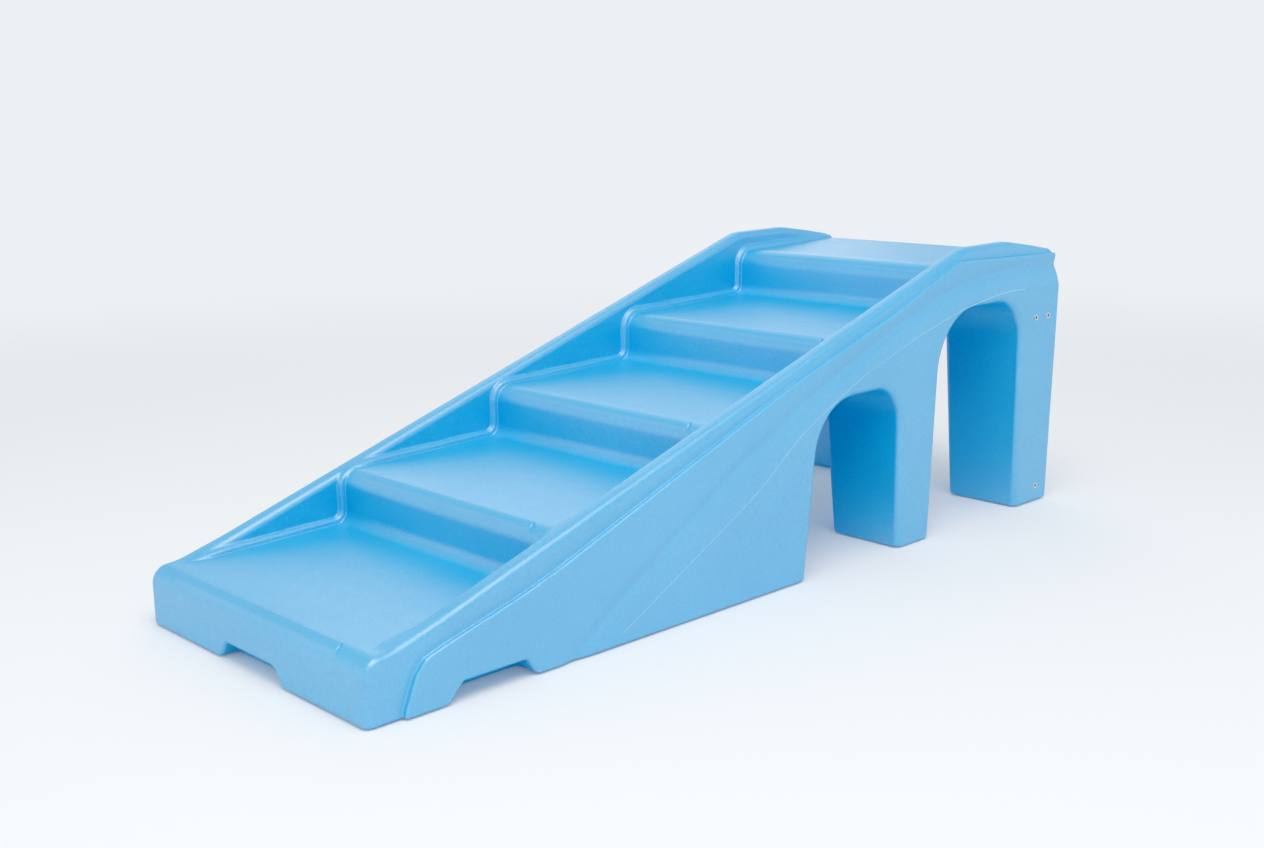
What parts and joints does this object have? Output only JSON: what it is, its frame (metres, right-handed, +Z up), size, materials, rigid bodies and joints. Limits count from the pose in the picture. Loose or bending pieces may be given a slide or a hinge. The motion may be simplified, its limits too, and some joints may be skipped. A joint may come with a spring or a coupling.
{
  "type": "dog ramp",
  "caption": "Light-blue moulded dog ramp with broad shallow steps between low side walls, a wedge front, arched sides and open legs at the rear.",
  "frame": {"origin": "on the floor under the middle of the ramp's length and width", "axes": "+X along the ramp, from the low front end up towards the high rear end; +Y to the left of a dog walking up; +Z up"},
  "size_m": [1.206, 0.456, 0.388],
  "materials": {
    "body": "satin, finely mottled moulded polyethylene",
    "strip": "satin, body colour",
    "insert": "machined",
    "pad": "matte",
    "plug": "satin"
  },
  "bodies": {
    "root": {"ramp_shell": "body", "nosing_strip_1": "strip", "nosing_strip_2": "strip", "nosing_strip_3": "strip", "nosing_strip_4": "strip", "nosing_strip_5": "strip", "inserts_right": "insert", "inserts_left": "insert", "pad_front_right": "pad", "pad_front_left": "pad", "pad_wedge_right": "pad", "pad_wedge_left": "pad", "pad_middle_right": "pad", "pad_middle_left": "pad", "pad_rear_right": "pad", "pad_rear_left": "pad", "vent_plug": "plug"}
  },
  "joints": []
}
